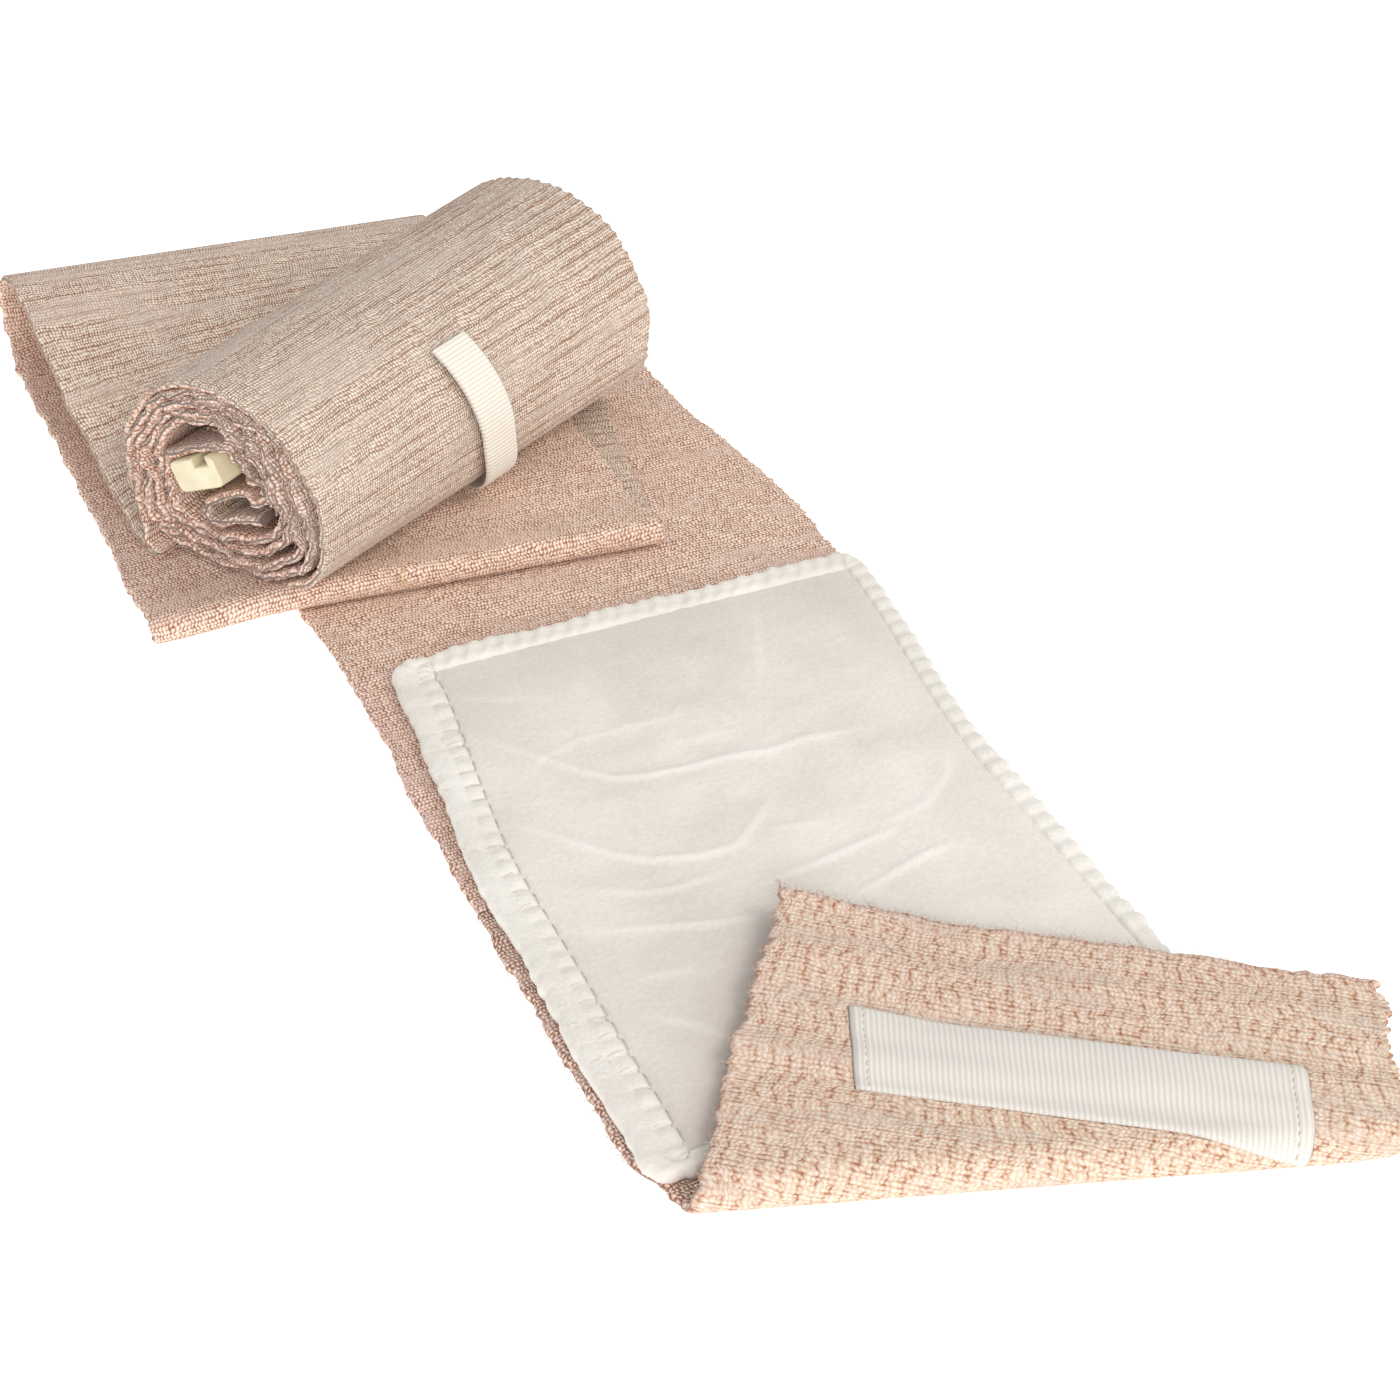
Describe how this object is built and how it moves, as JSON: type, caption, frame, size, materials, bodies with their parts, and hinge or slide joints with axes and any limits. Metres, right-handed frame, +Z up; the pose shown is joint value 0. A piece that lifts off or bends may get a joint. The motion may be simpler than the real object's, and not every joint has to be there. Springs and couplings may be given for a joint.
{
  "type": "emergency trauma bandage",
  "caption": "Half unrolled elastic wound bandage: a knitted band with a white dressing pad, folded near end, pleat and loop, wound into a roll on a moulded closure bar.",
  "frame": {"origin": "on the floor, on the flat underside of the band below the middle of the dressing pad", "axes": "+Y along the band from the folded near end to the roll, +X across the band to its right, +Z up"},
  "size_m": [0.1509, 0.3488, 0.0477],
  "materials": {
    "band_knit": "matte knitted elastic",
    "pad_fleece": "matte absorbent fleece",
    "hem_cloth": "matte overlocked cloth",
    "tape_cloth": "matte woven tape",
    "bar_plastic": "smooth moulded plastic"
  },
  "bodies": {
    "root": {"elastic_band": "band_knit", "dressing_pad": "pad_fleece", "pad_hem": "hem_cloth", "lead_tape": "tape_cloth", "roll_tape": "tape_cloth", "closure_bar": "bar_plastic"}
  },
  "joints": []
}
